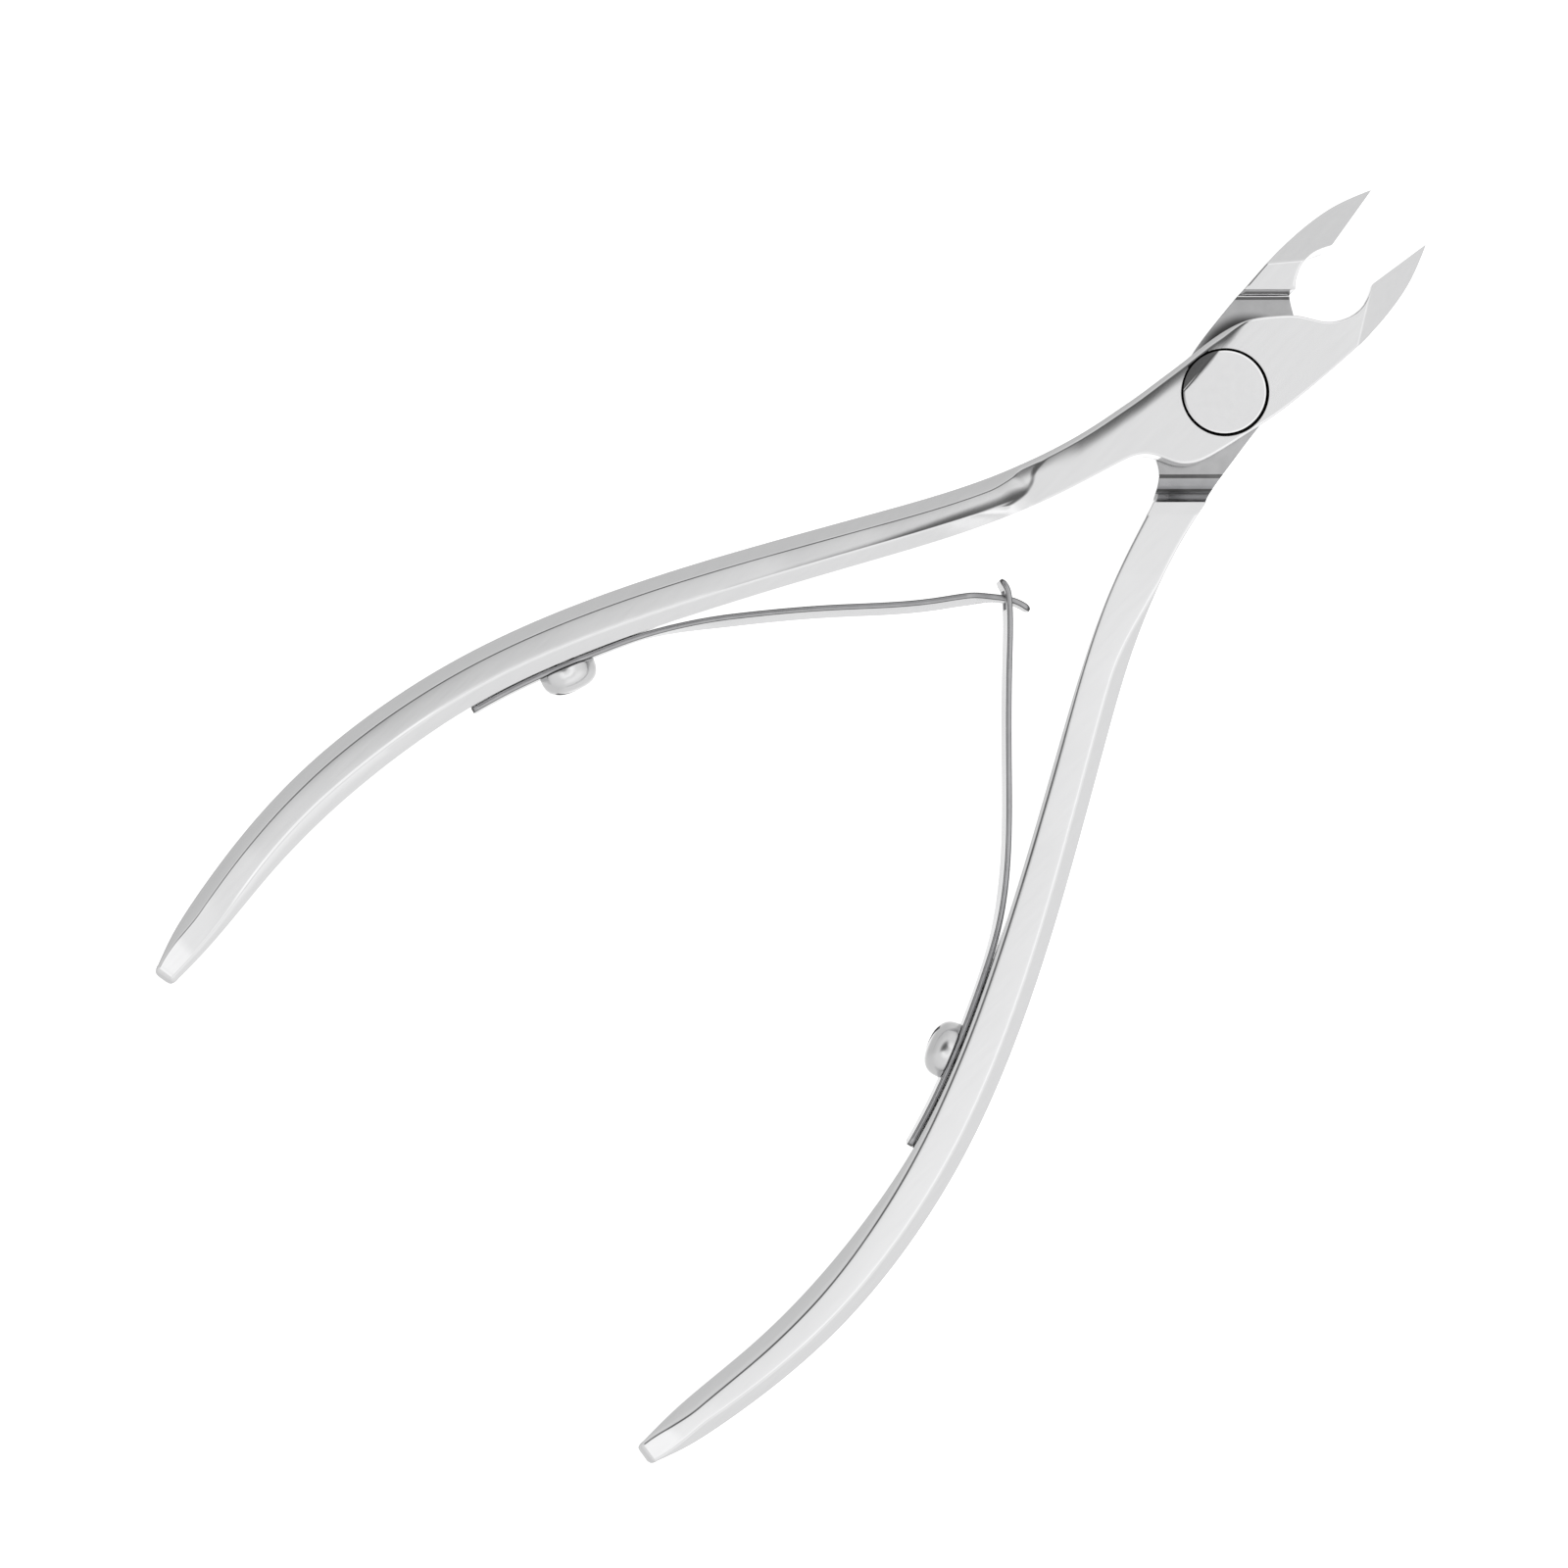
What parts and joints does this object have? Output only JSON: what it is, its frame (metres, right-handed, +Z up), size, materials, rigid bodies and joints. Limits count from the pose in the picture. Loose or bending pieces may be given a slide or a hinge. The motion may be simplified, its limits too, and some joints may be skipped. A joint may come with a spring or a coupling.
{
  "type": "cuticle nipper",
  "caption": "Lap-jointed cuticle nipper with curved handles, pointed cutting jaws and two interlocking leaf springs that open it.",
  "frame": {"origin": "on the pivot's axis, on the plane that the nipper lies on", "axes": "+X from the handles towards the jaws, +Y towards the front lever's handle, +Z up along the pivot's axis"},
  "size_m": [0.1106, 0.061, 0.007],
  "materials": {
    "lever_steel": "polished stainless steel",
    "rivet_steel": "polished stainless steel, ground flush",
    "spring_steel": "satin spring steel",
    "screw_steel": "polished stainless steel"
  },
  "bodies": {
    "rear_lever": {"rear_lever": "lever_steel", "pivot_rivet": "rivet_steel", "rear_spring": "spring_steel", "rear_spring_screw": "screw_steel"},
    "front_lever": {"front_lever": "lever_steel", "front_spring": "spring_steel", "front_spring_screw": "screw_steel"}
  },
  "joints": [
    {"name": "squeeze", "type": "hinge", "parent": "rear_lever", "child": "front_lever", "pos_m": [0, 0, 0.0035], "axis": [0, 0, 1], "range_deg": [0, 17], "stiffness_Nm_per_rad": 0.8, "springref_deg": -2.86, "deforming": ["front_spring", "rear_spring"]}
  ]
}
